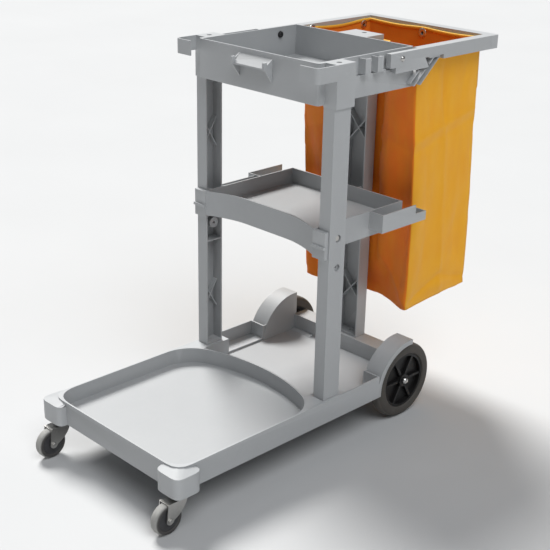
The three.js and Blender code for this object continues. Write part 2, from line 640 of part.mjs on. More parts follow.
function bagFrameBody() {
  const skin = 3;
  const r = rearBar;
  const shell = raised(rectangle(-r.halfWidth, r.halfWidth, r.front, r.back, 5), arm.bottom, arm.top, 3);
  const groove = block(-r.halfWidth + skin + 4, r.halfWidth - skin - 4, r.front + skin, r.back - skin,
    arm.bottom - 1, arm.top - skin);
  return join([...sides.map(([, side]) => frameArm(side)), shell]).subtract(groove);
}
add('bag_frame', bagFrameBody(), greyPlastic);

for (const [name, side] of sides) {
  const at = [pivot.y, pivot.z];
  const face = side * arm.outer;
  const tip = side * (topTray.inner - pivot.nut + 3);
  const dome = [[0, 4.5], [3, 4], [5.5, 2.2], [pivot.head, 0], [0, 0]].map(([r, x]) => [r, side * x]);
  if (side < 0) dome.reverse();
  const head = turned(dome.reverse(), ...at, 18).translate([face + side * fit, 0, 0]);
  add(`pivot_bolt_${name}`, head.add(bar(pivot.radius, 'x', face + side, tip, at)), zinc);
  const nutFace = side * (topTray.inner - fit);
  const cap = [[0, pivot.nut], [5, pivot.nut - 1], [7.5, pivot.nut - 3], [pivot.nutRadius, 0], [0, 0]]
    .map(([r, x]) => [r, -side * x]);
  if (side > 0) cap.reverse();
  const nut = turned(cap.reverse(), ...at, 18).translate([nutFace, 0, 0]);
  add(`pivot_nut_${name}`, nut.subtract(bar(pivot.radius + fit, 'x', nutFace + side, tip - side, at)), blackPlastic);
}

// ---- Waste bag and its studs ------------------------------------------------------------------------------------
// One horizontal ring of the bag. The front wall is set back in the middle, behind the rear post.
function bagRing(half, front, back, z, inset) {
  const notch = bag.notchY + inset;
  const points = [
    [half - inset, front + inset], [half - inset, back - inset], [-half + inset, back - inset],
    [-half + inset, front + inset], [-bag.notchHalf - bag.notchRun, front + inset], [-bag.notchHalf, notch],
    [bag.notchHalf, notch], [bag.notchHalf + bag.notchRun, front + inset],
  ];
  return points.map(([x, y]) => [x, y, z]);
}

function bagBody() {
  const b = bag;
  const top = [b.topHalf, b.topFront, b.topBack, b.top];
  const bottom = [b.bottomHalf, b.bottomFront, b.bottomBack, b.bottom];
  const floor = [b.bottomHalf, b.bottomFront, b.bottomBack, b.bottom + b.thick];
  const shell = loft([bagRing(...bottom, 0), bagRing(...top, 0), bagRing(...top, b.thick), bagRing(...floor, b.thick)]);
  return cut(shell, studSeats().map(({ axis, from, to, at }) => bar(stud.radius + 2, axis, from, to, at)));
}

// Studs stand on the inner faces of the frame and pass through eyelets near the bag's rim.
function studSeats() {
  const onArms = sides.flatMap(([name, side]) => ['front', 'rear'].map((place) => ({
    name: `bag_stud_${name}_${place}`, axis: 'x', from: side * arm.wideInner,
    to: side * (bag.topHalf - bag.thick - stud.reach), at: stud[place],
  })));
  const onBar = {
    name: 'bag_stud_back', axis: 'y', from: rearBar.front, to: bag.topBack - bag.thick - stud.reach, at: [0, stud.barZ],
  };
  return [...onArms, onBar];
}

add('bag', bagBody(), vinyl);
for (const { name, axis, from, to, at } of studSeats()) {
  const inwards = Math.sign(to - from);
  const shank = bar(stud.radius, axis, from, to, at);
  const head = bar(stud.head, axis, to - inwards, to + inwards * (stud.headThick - 1), at, 20);
  add(name, shank.add(head), zinc);
}

// ---- Rear axle and wheels ---------------------------------------------------------------------------------------------
const axleEnd = wheel.outer + 2;
add('rear_axle', bar(axle.radius, 'x', -axleEnd, axleEnd, [wheel.y, wheel.radius], 16), zinc);

// A tyre section of [radius, x] with rounded shoulders, around a straight inner bore.
function tyreProfile(radius, bore, width, shoulder, middle) {
  const half = width / 2;
  const lip = 2;
  const steps = 3;
  const points = [[bore, lip - half], [radius - shoulder, -half]];
  for (let i = 1; i <= 2 * steps; i++) {
    const angle = -Math.PI / 2 + (Math.PI * i) / (2 * steps);
    points.push([radius - shoulder + shoulder * Math.cos(angle), half * Math.sin(angle)]);
  }
  points.push([bore, half - lip], [bore, lip - half]);
  return points.map(([r, x]) => [r, middle + x]);
}

function rearHub(side) {
  const middle = side * (wheel.outer - wheel.width / 2);
  const rimOut = wheel.rimRadius - fit;
  const at = [wheel.y, wheel.radius];
  const ring = bar(rimOut, 'x', middle - 14, middle + 14, at, wheel.segments)
    .subtract(bar(rimOut - 6, 'x', middle - 15, middle + 15, at, wheel.segments));
  const web = bar(rimOut - 5, 'x', middle - 3, middle + 3, at, wheel.segments);
  const boss = bar(17, 'x', middle - 16, middle + 16, at, 20);
  const spokes = Array.from({ length: 6 }, (_, i) => {
    const spoke = new THREE.BoxGeometry(24, rimOut - 3, 7).translate(0, (rimOut - 3) / 2, 0);
    return solid(spoke.rotateX((i * Math.PI) / 3).translate(middle, ...at));
  });
  return join([ring, web, boss, ...spokes]).subtract(bar(axle.radius + slack, 'x', middle - 30, middle + 30, at, 16));
}

for (const [name, side] of sides) {
  const middle = side * (wheel.outer - wheel.width / 2);
  const tyre = tyreProfile(wheel.radius, wheel.rimRadius, wheel.width, wheel.shoulder, middle);
  add(`wheel_tyre_${name}`, turned(tyre, wheel.y, wheel.radius, wheel.segments), tyreRubber);
  add(`wheel_hub_${name}`, rearHub(side), blackPlastic);
  const capFace = side * axleEnd;
  const dome = [[0, 7], [4, 6.2], [7, 4], [9, 0], [0, 0]].map(([r, x]) => [r, side * x]);
  if (side > 0) dome.reverse();
  add(`axle_cap_${name}`, turned(dome, wheel.y, wheel.radius, 18).translate([capFace + side * fit, 0, 0]), zinc);
}

// ---- Swivel casters -------------------------------------------------------------------------------------------------------
function casterFork(x) {
  const c = caster;
  const axis = [c.stemY - c.trail, c.radius];
  const inner = c.width / 2 + 1.5;
  const legs = sides.map(([, side]) => {
    const leg = new THREE.Shape();
    leg.moveTo(c.stemY + c.plateBack, c.plate - 1);
    leg.quadraticCurveTo(c.stemY + c.plateBack - 4, c.radius + 14, axis[0] + 10, axis[1] - 2);
    leg.absarc(axis[0], axis[1], 10, -0.2, -Math.PI, true);
    leg.lineTo(c.stemY - c.plateFront, c.plate - 1);
    return across(leg, x + side * inner, x + side * (inner + c.leg), 5);
  });
  const plate = raised(rectangle(x - inner - c.leg, x + inner + c.leg, c.stemY - c.plateFront, c.stemY + c.plateBack, 3),
    c.plate - c.leg, c.plate, 2);
  const race = bar(13, 'z', c.plate - 1, c.plate + 2, [x, c.stemY], 20);
  const bore = bar(screwRadius + fit, 'x', x - 30, x + 30, axis);
  const stemBore = bar(caster.stemRadius + fit, 'z', 0, 100, [x, c.stemY]);
  return cut(join([...legs, plate, race]), [bore, stemBore]);
}

for (const [name, side] of sides) {
  const c = caster;
  const x = side * c.stemX;
  const stemAt = [x, c.stemY];
  const axis = [c.stemY - c.trail, c.radius];
  const bossEnd = c.plate + stemBoss.gap;
  const stem = join([
    bar(c.stemRadius, 'z', c.plate - 6, 130, stemAt),
    bar(14, 'z', c.plate + 2 + fit, bossEnd, stemAt, 20),
    bar(c.stemRadius + 3, 'z', c.plate - 6, c.plate - c.leg - fit, stemAt, 16),
  ]);
  add(`caster_stem_${name}`, stem, zinc);
  add(`caster_fork_${name}`, casterFork(x), zinc);
  const legFace = c.width / 2 + 4;
  add(`caster_bolt_${name}`, bar(screwRadius, 'x', x - legFace - 5, x + legFace, axis)
    .add(bar(6, 'x', x + legFace + fit, x + legFace + 4, axis, 6))
    .add(bar(screwRadius, 'x', x, x + legFace + 1, axis)), zinc);
  add(`caster_nut_${name}`, bar(5.5, 'x', x - legFace - fit, x - legFace - 4, axis, 6)
    .subtract(bar(screwRadius + fit, 'x', x - legFace - 6, x - legFace, axis)), zinc);
  const hub = bar(c.hubRadius - fit, 'x', x - 10, x + 10, axis, c.segments)
    .add(bar(9, 'x', x - c.width / 2 - 0.5, x + c.width / 2 + 0.5, axis, 16))
    .subtract(bar(screwRadius + slack, 'x', x - 20, x + 20, axis));
  add(`caster_hub_${name}`, hub, hubGrey);
  add(`caster_tyre_${name}`, turned(tyreProfile(c.radius, c.hubRadius, c.width, c.shoulder, x), ...axis, c.segments), casterRubber);
}

const frontEnd = caster.stemY - caster.trail - caster.radius;
cart.position.y = -(frontEnd + rearBar.back) / 2;

export default cart;
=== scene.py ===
"""A housekeeping cart: grey moulded body, tip-up frame with an orange waste bag, two wheels, two casters."""
import math

import bmesh
import bpy
from mathutils import Matrix, Vector, noise


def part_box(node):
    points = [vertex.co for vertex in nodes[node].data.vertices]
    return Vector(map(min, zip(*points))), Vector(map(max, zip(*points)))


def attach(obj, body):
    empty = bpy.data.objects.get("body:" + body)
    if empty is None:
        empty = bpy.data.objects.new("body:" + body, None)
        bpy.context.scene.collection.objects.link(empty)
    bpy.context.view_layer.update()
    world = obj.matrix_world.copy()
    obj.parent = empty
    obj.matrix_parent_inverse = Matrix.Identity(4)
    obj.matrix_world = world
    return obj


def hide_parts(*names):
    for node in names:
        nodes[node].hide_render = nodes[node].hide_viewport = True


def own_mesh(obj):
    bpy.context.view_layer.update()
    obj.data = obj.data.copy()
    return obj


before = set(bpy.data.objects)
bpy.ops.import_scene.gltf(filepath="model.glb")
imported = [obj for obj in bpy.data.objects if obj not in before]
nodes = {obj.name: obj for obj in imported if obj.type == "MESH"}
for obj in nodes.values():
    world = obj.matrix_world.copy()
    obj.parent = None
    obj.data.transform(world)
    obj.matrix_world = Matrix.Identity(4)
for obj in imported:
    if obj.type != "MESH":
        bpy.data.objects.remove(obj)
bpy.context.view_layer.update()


# ---- The studio ------------------------------------------------------------------------------------
# A pale matt floor under one large soft lamp, high on the cart's left, a weaker one on its right, and
# a faint fill all round. The camera stands at head height, off the cart's front right corner.

camera_place = (1.8697, -1.84285, 1.4538)
camera_turn, camera_tilt, camera_roll = 0.7896, 0.4026, 0.0205
camera_lens = 74.25
camera_rise = 0.0455

camera = bpy.data.objects.new("camera", bpy.data.cameras.new("camera"))
camera.data.lens = camera_lens
camera.data.shift_y = camera_rise
camera.matrix_world = (
    Matrix.Translation(camera_place)
    @ Matrix.Rotation(camera_turn, 4, "Z")
    @ Matrix.Rotation(math.pi / 2 - camera_tilt, 4, "X")
    @ Matrix.Rotation(camera_roll, 4, "Z")
)
bpy.context.collection.objects.link(camera)
bpy.context.scene.camera = camera
bpy.context.scene.view_settings.view_transform = "Standard"


def lamp(name, from_where, strength, softness, colour):
    """A broad, far-off lamp: from_where is the direction it stands in, softness its width in degrees."""
    light = bpy.data.objects.new(name, bpy.data.lights.new(name, "SUN"))
    light.data.energy = strength
    light.data.angle = math.radians(softness)
    light.data.color = colour
    light.matrix_world = Vector(from_where).to_track_quat("Z", "Y").to_matrix().to_4x4()
    bpy.context.collection.objects.link(light)


lamp("key_lamp", (-0.60, 0.20, 0.80), 4.3, 24, (1.0, 0.99, 0.97))
lamp("fill_lamp", (0.52, -0.16, 0.80), 1.5, 40, (0.96, 0.98, 1.0))

sky = bpy.data.worlds.new("sky")
sky.use_nodes = True
sky.node_tree.nodes["Background"].inputs["Color"].default_value = (0.93, 0.96, 1.0, 1)
sky.node_tree.nodes["Background"].inputs["Strength"].default_value = 0.14
bpy.context.scene.world = sky


class Wire:
    """A value or colour in a finish. Sums on it add Math nodes."""

    def __init__(self, finish, socket):
        self.finish = finish
        self.socket = socket

    def sum(self, operation, *terms):
        return self.finish.node("Math", {"operation": operation}, dict(enumerate(terms)))["Value"]

    def __add__(self, other):
        return self.sum("ADD", self, other)

    def __mul__(self, other):
        return self.sum("MULTIPLY", self, other)

    def __sub__(self, other):
        return self.sum("SUBTRACT", self, other)

    def __rsub__(self, other):
        return self.sum("SUBTRACT", other, self)

    __radd__ = __add__
    __rmul__ = __mul__

    def between(self, low, high):
        """0 below low, 1 above high, smooth from one to the other."""
        return self.finish.node(
            "MapRange",
            {"interpolation_type": "SMOOTHSTEP"},
            {"Value": self, "From Min": low, "From Max": high},
        )["Result"]


class Finish:
    """One material, built from a Principled shader."""

    def __init__(self, name, metallic=0.0, sheen=0.0, specular=0.5):
        self.material = bpy.data.materials.new(name)
        self.material.use_nodes = True
        self.tree = self.material.node_tree
        self.shader = self.tree.nodes["Principled BSDF"]
        self.shader.inputs["Metallic"].default_value = metallic
        self.shader.inputs["Sheen Weight"].default_value = sheen
        self.shader.inputs["Specular IOR Level"].default_value = specular
        self.place = self.node("TexCoord", {}, {})["Object"]

    def node(self, kind, settings, values):
        """Adds a node: settings first, then each socket's value or wire. Gives back its outputs."""
        made = self.tree.nodes.new("ShaderNode" + kind)
        for setting, value in settings.items():
            setattr(made, setting, value)
        for key, value in values.items():
            if isinstance(key, int):
                socket = made.inputs[key]
            else:
                socket = next(s for s in made.inputs if s.name == key and s.enabled)
            if isinstance(value, Wire):
                self.tree.links.new(value.socket, socket)
            elif isinstance(value, tuple) and len(value) == 3 and socket.type == "RGBA":
                socket.default_value = (*value, 1)
            else:
                socket.default_value = value
        return {s.name: Wire(self, s) for s in made.outputs if s.enabled}

    def stretched(self, x, y, z):
        return self.node("VectorMath", {"operation": "MULTIPLY"}, {0: self.place, 1: (x, y, z)})["Vector"]

    def cloudy(self, scale, detail=3.0, rough=0.5, place=None):
        """Noise from 0 to 1, scale in lumps per metre."""
        return self.node(
            "TexNoise",
            {},
            {"Vector": place or self.place, "Scale": scale, "Detail": detail, "Roughness": rough},
        )["Fac"]

    def threads(self, direction, count):
        """The bands of a weave, slightly uneven."""
        return self.node(
            "TexWave",
            {"wave_type": "BANDS", "bands_direction": direction},
            {"Vector": self.place, "Scale": count, "Distortion": 0.6},
        )["Fac"]

    def blend(self, mask, first, second):
        return self.node("Mix", {"data_type": "RGBA"}, {"Factor": mask, "A": first, "B": second})["Result"]

    def edges(self, low=0.52, high=0.62):
        """Pointiness eased from 0 at low to 1 at high; with the defaults, 1 along worn outer edges."""
        return self.node("NewGeometry", {}, {})["Pointiness"].between(low, high)

    def surface(self, colour, roughness, height, depth):
        """Feeds the shader; height is a wire from 0 to 1, depth its size in metres."""
        for name, value in (("Base Color", colour), ("Roughness", roughness)):
            self.tree.links.new(value.socket, self.shader.inputs[name])
        bumped = self.node("Bump", {}, {"Strength": 1.0, "Distance": depth, "Height": height})["Normal"]
        self.tree.links.new(bumped.socket, self.shader.inputs["Normal"])
        return self.material


floor_reach = 14.0
floor_drop = 0.0005
floor_corners = ((-1, -1), (1, -1), (1, 1), (-1, 1))
floor_mesh = bpy.data.meshes.new("studio_floor")
floor_mesh.from_pydata(
    [(x * floor_reach, y * floor_reach, -floor_drop) for x, y in floor_corners], [], [(0, 1, 2, 3)]
)
studio_floor = bpy.data.objects.new("studio_floor", floor_mesh)
bpy.context.collection.objects.link(studio_floor)
paper = Finish("pale_floor", specular=0.1)
paper_tone = paper.blend(paper.cloudy(1.5), (0.55, 0.555, 0.56), (0.58, 0.585, 0.59))
floor_mesh.materials.append(paper.surface(paper_tone, paper.cloudy(8) * 0.1 + 0.8, paper.cloudy(300), 0.0001))


# ---- The platform ----------------------------------------------------------------------------------
# One large grey polypropylene moulding: front tray, rear deck, wheel arches and caster horns. The
# skin has a fine spark-eroded grain, faint flow marks, and edges rubbed paler by use. Its hollows
# and inner corners are darkened with painted shade.


def moulded_grey(name, tone=1.0, scuffs=1.0):
    plastic = Finish(name, specular=0.42)
    flow = plastic.cloudy(7, 4, 0.6)
    mottle = plastic.cloudy(60, 3, 0.55)
    grain = plastic.cloudy(1400, 2, 0.5)
    scratches = plastic.cloudy(1, 5, 0.65, plastic.stretched(420, 26, 160)).between(0.63, 0.72)
    crossing = plastic.cloudy(1, 5, 0.65, plastic.stretched(30, 380, 150)).between(0.64, 0.73)
    worn = plastic.edges()
    # Concave places are blended toward a dark grey: painted shade in the hollows and inner corners.
    painted_hollow_shade = 1 - plastic.edges(0.40, 0.50)
    dark = tuple(c * tone for c in (0.40, 0.412, 0.422))
    pale = tuple(c * tone for c in (0.46, 0.47, 0.478))
    base = plastic.blend(flow * 0.6 + mottle * 0.4, dark, pale)
    base = plastic.blend(painted_hollow_shade * 0.35, base, (0.19, 0.19, 0.19))
    base = plastic.blend((scratches + crossing) * (0.16 * scuffs), base, (0.66, 0.67, 0.68))
    base = plastic.blend(worn * 0.3, base, (0.58, 0.595, 0.605))
    rough = 0.46 + mottle * 0.14 - worn * 0.1 + scratches * 0.08
    height = grain * 0.5 + flow * 0.2 + mottle * 0.3 - (scratches + crossing) * 0.25
    return plastic.surface(base, rough, height, 0.00022)


edge_round = 0.0015


def facet_rule(name, sharp_angle):
    """A node group that shades a shape smooth, but keeps an edge crisp above the sharp angle."""
    group = bpy.data.node_groups.new(name, "GeometryNodeTree")
    for direction in ("INPUT", "OUTPUT"):
        group.interface.new_socket("Geometry", in_out=direction, socket_type="NodeSocketGeometry")
    start, end = group.nodes.new("NodeGroupInput"), group.nodes.new("NodeGroupOutput")
    bare = group.nodes.new("GeometryNodeRemoveAttribute")
    bare.inputs["Name"].default_value = "custom_normal"
    angle = group.nodes.new("GeometryNodeInputMeshEdgeAngle")
    gentle = group.nodes.new("FunctionNodeCompare")
    gentle.operation = "LESS_THAN"
    gentle.inputs["B"].default_value = sharp_angle
    faces = group.nodes.new("GeometryNodeSetShadeSmooth")
    faces.domain = "FACE"
    edges = group.nodes.new("GeometryNodeSetShadeSmooth")
    edges.domain = "EDGE"
    join = group.links.new
    join(start.outputs["Geometry"], bare.inputs["Geometry"])
    join(bare.outputs["Geometry"], faces.inputs["Geometry"])
    join(faces.outputs["Geometry"], edges.inputs["Geometry"])
    join(angle.outputs["Unsigned Angle"], gentle.inputs["A"])
    join(gentle.outputs["Result"], edges.inputs["Shade Smooth"])
    join(edges.outputs["Geometry"], end.inputs["Geometry"])
    return group


crisp_above = facet_rule("crisp_above", 0.62)


def soften(node, width=edge_round):
    """Rounds a moulding's edges as the tool leaves them, without moving its faces."""
    joined = node.modifiers.new("joined", "WELD")
    joined.merge_threshold = 2e-5
    flats = node.modifiers.new("flats", "DECIMATE")
    flats.decimate_type = "DISSOLVE"
    flats.angle_limit = 0.02
    rounds = node.modifiers.new("rounds", "BEVEL")
    rounds.width = width
    rounds.segments = 2
    rounds.limit_method = "ANGLE"
    rounds.angle_limit = 0.6
    shading = node.modifiers.new("shading", "NODES")
    shading.node_group = crisp_above
    level = node.modifiers.new("level", "WEIGHTED_NORMAL")
    level.keep_sharp = True


def dress(material, *names):
    for name in names:
        for place in nodes[name].material_slots:
            place.material = material


soften(nodes["platform"])
dress(moulded_grey("platform_grey"), "platform")


# ---- The posts and the middle shelf ----------------------------------------------------------------
# Three box posts with crossed webs stand in the platform's sockets. The shelf clips round the front
# pair. All are grey mouldings of the same plastic, a little cleaner than the platform.

post_grey = moulded_grey("post_grey", 1.0, 0.6)
shelf_grey = moulded_grey("shelf_grey", 1.0, 0.8)
for name in ("front_post_left", "front_post_right", "rear_post", "mid_shelf"):
    soften(nodes[name], 0.0022)
dress(post_grey, "front_post_left", "front_post_right", "rear_post")
dress(shelf_grey, "mid_shelf")


# ---- The top frame and the bag frame ---------------------------------------------------------------
# The top tray, with its tool teeth, hooks and long pocket, is one moulding. The frame that carries the
# bag is another, pivoted on the tray's sides so that it tips up.

top_grey = moulded_grey("top_grey", 1.02, 0.8)
for name in ("top_frame", "bag_frame"):
    soften(nodes[name])
    dress(top_grey, name)


# ---- Screws, pivots and the axle -------------------------------------------------------------------
# Zinc-plated steel: screws sunk in the mouldings, two domed pivot bolts with black nylon nuts inside
# the tray, and the axle that runs right through under the deck.


def plated(name, tone, shine=0.3):
    metal = Finish(name, metallic=1.0)
    cloud = metal.cloudy(220, 4, 0.6)
    brushed = metal.cloudy(1, 3, 0.6, metal.stretched(300, 2500, 2500))
    spots = metal.cloudy(900, 3, 0.6).between(0.66, 0.74)
    dull = tuple(c * 0.72 for c in tone)
    base = metal.blend(cloud, dull, tone)
    base = metal.blend(spots * 0.5, base, (0.3, 0.28, 0.25))
    rough = cloud * 0.18 + brushed * 0.1 + (shine - 0.08) + spots * 0.2
    return metal.surface(base, rough, cloud * 0.4 + brushed * 0.6, 0.00004)


zinc = plated("zinc_plate", (0.58, 0.57, 0.55))
bright_steel = plated("bright_steel", (0.83, 0.82, 0.8), 0.2)
for name in nodes:
    if "screw" in name or name.startswith("pivot_bolt"):
        soften(nodes[name], 0.0005)
        dress(zinc, name)
dress(zinc, "rear_axle")


def black_moulding(name, tone, gloss):
    nylon = Finish(name, specular=0.4)
    dust = nylon.cloudy(35, 4, 0.65)
    grain = nylon.cloudy(1100, 2)
    worn = nylon.edges()
    base = nylon.blend(dust, tuple(c * 0.75 for c in tone), tuple(c * 1.3 for c in tone))
    base = nylon.blend(worn * 0.4, base, tuple(c * 2.2 + 0.008 for c in tone))
    return nylon.surface(base, dust * 0.2 + gloss, grain * 0.6 + dust * 0.4, 0.00015)


black_nylon = black_moulding("black_nylon", (0.012, 0.012, 0.013), 0.32)
for side in ("left", "right"):
    soften(nodes[f"pivot_nut_{side}"], 0.0006)
    dress(black_nylon, f"pivot_nut_{side}")


# ---- The rear wheels -------------------------------------------------------------------------------
# A solid grey-brown rubber tyre with rounded shoulders sits on a black moulded hub with thin
# ribs. A bright push-on cap closes the end of the axle.


def lathed(name, outline, axis_point, steps, body, material, axis=(1, 0, 0), closed=True):
    """Turns an outline of (along, radius) points about a line through axis_point."""
    along = Vector(axis)
    across = along.orthogonal().normalized()
    other = along.cross(across)
    mesh = bmesh.new()
    rings = []
    for step in range(steps):
        turn = 2 * math.pi * step / steps
        out = across * math.cos(turn) + other * math.sin(turn)
        rings.append([mesh.verts.new(Vector(axis_point) + along * a + out * r) for a, r in outline])
    count = len(outline)
    for step in range(steps):
        here, there = rings[step], rings[(step + 1) % steps]
        for i in range(count if closed else count - 1):
            j = (i + 1) % count
            mesh.faces.new((here[i], here[j], there[j], there[i]))
    bmesh.ops.remove_doubles(mesh, verts=mesh.verts, dist=1e-6)
    bmesh.ops.recalc_face_normals(mesh, faces=mesh.faces)
    for face in mesh.faces:
        face.smooth = True
    return placed(name, mesh, body, material)


def placed(name, mesh, body, *materials):
    data = bpy.data.meshes.new(name)
    mesh.to_mesh(data)
    mesh.free()
    piece = bpy.data.objects.new(name, data)
    for material in materials:
        data.materials.append(material)
    bpy.context.collection.objects.link(piece)
    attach(piece, body)
    return piece


def middle(name):
    low, high = (Vector(corner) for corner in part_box(name))
    return (low + high) / 2, (high - low) / 2


def arc(along, radius, size, start, end, steps=6):
    """Points on a quarter round of a tyre's outline, angles in degrees from the axis."""
    return [
        (along + size * math.cos(math.radians(a)), radius + size * math.sin(math.radians(a)))
        for a in (start + (end - start) * i / steps for i in range(steps + 1))
    ]


def tyre_outline(half_width, outer, inner, shoulder):
    return [
        (half_width - 0.001, inner),
        (half_width, inner + 0.003),
        *arc(half_width - shoulder, outer - shoulder, shoulder, 0, 90),
        *arc(shoulder - half_width, outer - shoulder, shoulder, 90, 180),
        (-half_width, inner + 0.003),
        (0.001 - half_width, inner),
    ]


def rubber(name, tone, tread_tone, axis_point, tread_radius):
    """Rubber whose tread, outside tread_radius from the axle, is scuffed paler than its walls."""
    skin = Finish(name, specular=0.3)
    axle = (0, *axis_point[1:])
    offset = skin.node("VectorMath", {"operation": "SUBTRACT"}, {0: skin.place, 1: axle})["Vector"]
    flat = skin.node("VectorMath", {"operation": "MULTIPLY"}, {0: offset, 1: (0, 1, 1)})["Vector"]
    reach = skin.node("VectorMath", {"operation": "LENGTH"}, {0: flat})["Value"]
    tread = reach.between(tread_radius, tread_radius + 0.004)
    dust = skin.cloudy(40, 5, 0.7)
    nicks = skin.cloudy(260, 4, 0.7).between(0.6, 0.72)
    base = skin.blend(dust, tuple(c * 0.75 for c in tone), tuple(c * 1.25 for c in tone))
    base = skin.blend(tread * (dust * 0.5 + 0.5), base, tread_tone)
    base = skin.blend(nicks * 0.4, base, tuple(c * 0.4 for c in tone))
    return skin.surface(base, dust * 0.15 + 0.62, dust * 0.5 - nicks * 0.5 + 0.5, 0.0006)


tread_depth = 0.006
tyre_bead = 0.0744
tyre_shoulder = 0.0115
wheel_centre, wheel_half = middle("wheel_tyre_right")
tyre_rubber = rubber(
    "tyre_rubber", (0.085, 0.078, 0.07), (0.16, 0.147, 0.132), wheel_centre, wheel_half.z - tread_depth
)
hub_black = black_moulding("hub_black", (0.008, 0.0075, 0.0075), 0.4)
for side in ("left", "right"):
    body = f"rear_wheel_{side}"
    centre, half = middle(f"wheel_tyre_{side}")
    outline = tyre_outline(half.x, half.z, tyre_bead, tyre_shoulder)
    tyre = lathed(f"tyre_{side}", outline, centre, 96, body, tyre_rubber)
    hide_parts(f"wheel_tyre_{side}")
    soften(nodes[f"wheel_hub_{side}"], 0.0016)
    dress(hub_black, f"wheel_hub_{side}")
    soften(nodes[f"axle_cap_{side}"], 0.001)
    dress(bright_steel, f"axle_cap_{side}")


# ---- The casters -----------------------------------------------------------------------------------
# Pressed zinc-plated forks turn on stems under the horns. Each carries a small wheel: dark grey sides
# and hub, with a pale grey rubber tread, on a bolt with a nut.

caster_centre, caster_half = middle("caster_tyre_right")
caster_tread_depth = 0.005
caster_shoulder = 0.0075
hub_gap = 0.0003
caster_rubber = rubber(
    "caster_rubber",
    (0.075, 0.072, 0.07),
    (0.47, 0.465, 0.445),
    caster_centre,
    caster_half.z - caster_tread_depth,
)
caster_hub_grey = black_moulding("caster_hub_grey", (0.045, 0.045, 0.048), 0.36)
for side in ("left", "right"):
    centre, half = middle(f"caster_tyre_{side}")
    inner = middle(f"caster_hub_{side}")[1].z
    outline = tyre_outline(half.x, half.z, inner + hub_gap, caster_shoulder)
    tread = lathed(f"caster_tread_{side}", outline, centre, 72, f"caster_wheel_{side}", caster_rubber)
    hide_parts(f"caster_tyre_{side}")
    soften(nodes[f"caster_hub_{side}"], 0.001)
    dress(caster_hub_grey, f"caster_hub_{side}")
    for part in ("stem", "fork", "bolt", "nut"):
        soften(nodes[f"caster_{part}_{side}"], 0.0005)
        dress(zinc, f"caster_{part}_{side}")


# ---- The bag ---------------------------------------------------------------------------------------
# A box-shaped bag of coated orange nylon, open on top, with a recess up its front for the rear post.
# It is stitched along its corners and hangs from five studs, creased as it was folded for packing.

bag_low, bag_high = (Vector(corner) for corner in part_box("bag"))
bag_lean = 0.033
bag_front_lean = 0.028
bag_taper = 0.002
recess_half = 0.062
recess_run = 0.040
recess_back = 0.0500
recess_corner = 0.014
row_count = 55
lane_count = 21
snug = 1e-4
cloth_thick = 0.0012
cloth_cell = 0.0125

mouth_half = bag_high.x - bag_taper - cloth_thick
foot_half = bag_high.x - cloth_thick
mouth_front = bag_low.y + cloth_thick
foot_front = bag_low.y + bag_front_lean + cloth_thick
mouth_back = bag_high.y - bag_lean - cloth_thick
foot_back = bag_high.y - cloth_thick
recess_line = bag_low.y + recess_back


def mix(first, second, share):
    return first + (second - first) * share


def ease(low, high, value):
    share = min(1.0, max(0.0, (value - low) / (high - low)))
    return share * share * (3 - 2 * share)


def spread(start, end):
    count = max(1, round(abs(end - start) / cloth_cell))
    return [start + (end - start) * i / count for i in range(count)]


# Columns across the front and back stand closer where the recess turns in.
columns = [
    *spread(-foot_half, -recess_half - recess_run),
    *spread(-recess_half - recess_run, -recess_half),
    *spread(-recess_half, recess_half),
    *spread(recess_half, recess_half + recess_run),
    *spread(recess_half + recess_run, foot_half),
    foot_half,
]
rows = [bag_low.z + (bag_high.z - bag_low.z) * i / row_count for i in range(row_count + 1)]
lanes = [i / lane_count for i in range(lane_count + 1)]


def front_line(x, height_share):
    straight = mix(foot_front, mouth_front, height_share)
    flank_end = mix(foot_half, recess_half + recess_run, ease(0.0, 0.5, height_share))
    turned_in = 1 - ease(recess_half - recess_corner, flank_end, abs(x))
    return mix(straight, recess_line, turned_in)


front_stud_y, rear_stud_y = (middle(f"bag_stud_right_{end}")[0].y for end in ("front", "rear"))
side_dip, back_dip = 0.005, 0.003


def hem_dip(x, y):
    """How far the hem hangs below the frame between one stud and the next."""
    if front_stud_y < y < rear_stud_y:
        return side_dip * math.sin(math.pi * (y - front_stud_y) / (rear_stud_y - front_stud_y)) ** 1.3
    if y > mouth_back - 0.004:
        return back_dip * math.sin(math.pi * min(1.0, abs(x) / mouth_half)) ** 1.3
    return 0.0


def bag_point(i, j, k):
    share = (rows[k] - bag_low.z) / (bag_high.z - bag_low.z)
    x = columns[i] * mix(1.0, mouth_half / foot_half, share)
    y = mix(front_line(columns[i], share), mix(foot_back, mouth_back, share), lanes[j])
    return Vector((x, y, rows[k] - hem_dip(x, y) * ease(0.86, 1.0, share)))


last_column, last_lane, last_row = len(columns) - 1, len(lanes) - 1, len(rows) - 1
shell = bmesh.new()
corners = {}
for i in range(last_column + 1):
    for j in range(last_lane + 1):
        for k in range(last_row + 1):
            if i in (0, last_column) or j in (0, last_lane) or k == 0:
                corners[i, j, k] = shell.verts.new(bag_point(i, j, k))


def panel(first_range, second_range, corner):
    for a in first_range:
        for b in second_range:
            shell.faces.new([corners[corner(a + da, b + db)] for da, db in ((0, 0), (1, 0), (1, 1), (0, 1))])


panel(range(last_column), range(last_row), lambda a, b: (a, 0, b))
panel(range(last_column), range(last_row), lambda a, b: (a, last_lane, b))
panel(range(last_lane), range(last_row), lambda a, b: (0, a, b))
panel(range(last_lane), range(last_row), lambda a, b: (last_column, a, b))
panel(range(last_column), range(last_lane), lambda a, b: (a, b, 0))
bmesh.ops.recalc_face_normals(shell, faces=shell.faces)


def on_foot_outline(p):
    """True where a point of the foot lies on one of its outer edges."""
    return (
        abs(abs(p.x) - foot_half) < snug
        or abs(p.y - foot_back) < snug
        or abs(p.y - front_line(p.x, 0)) < snug
    )


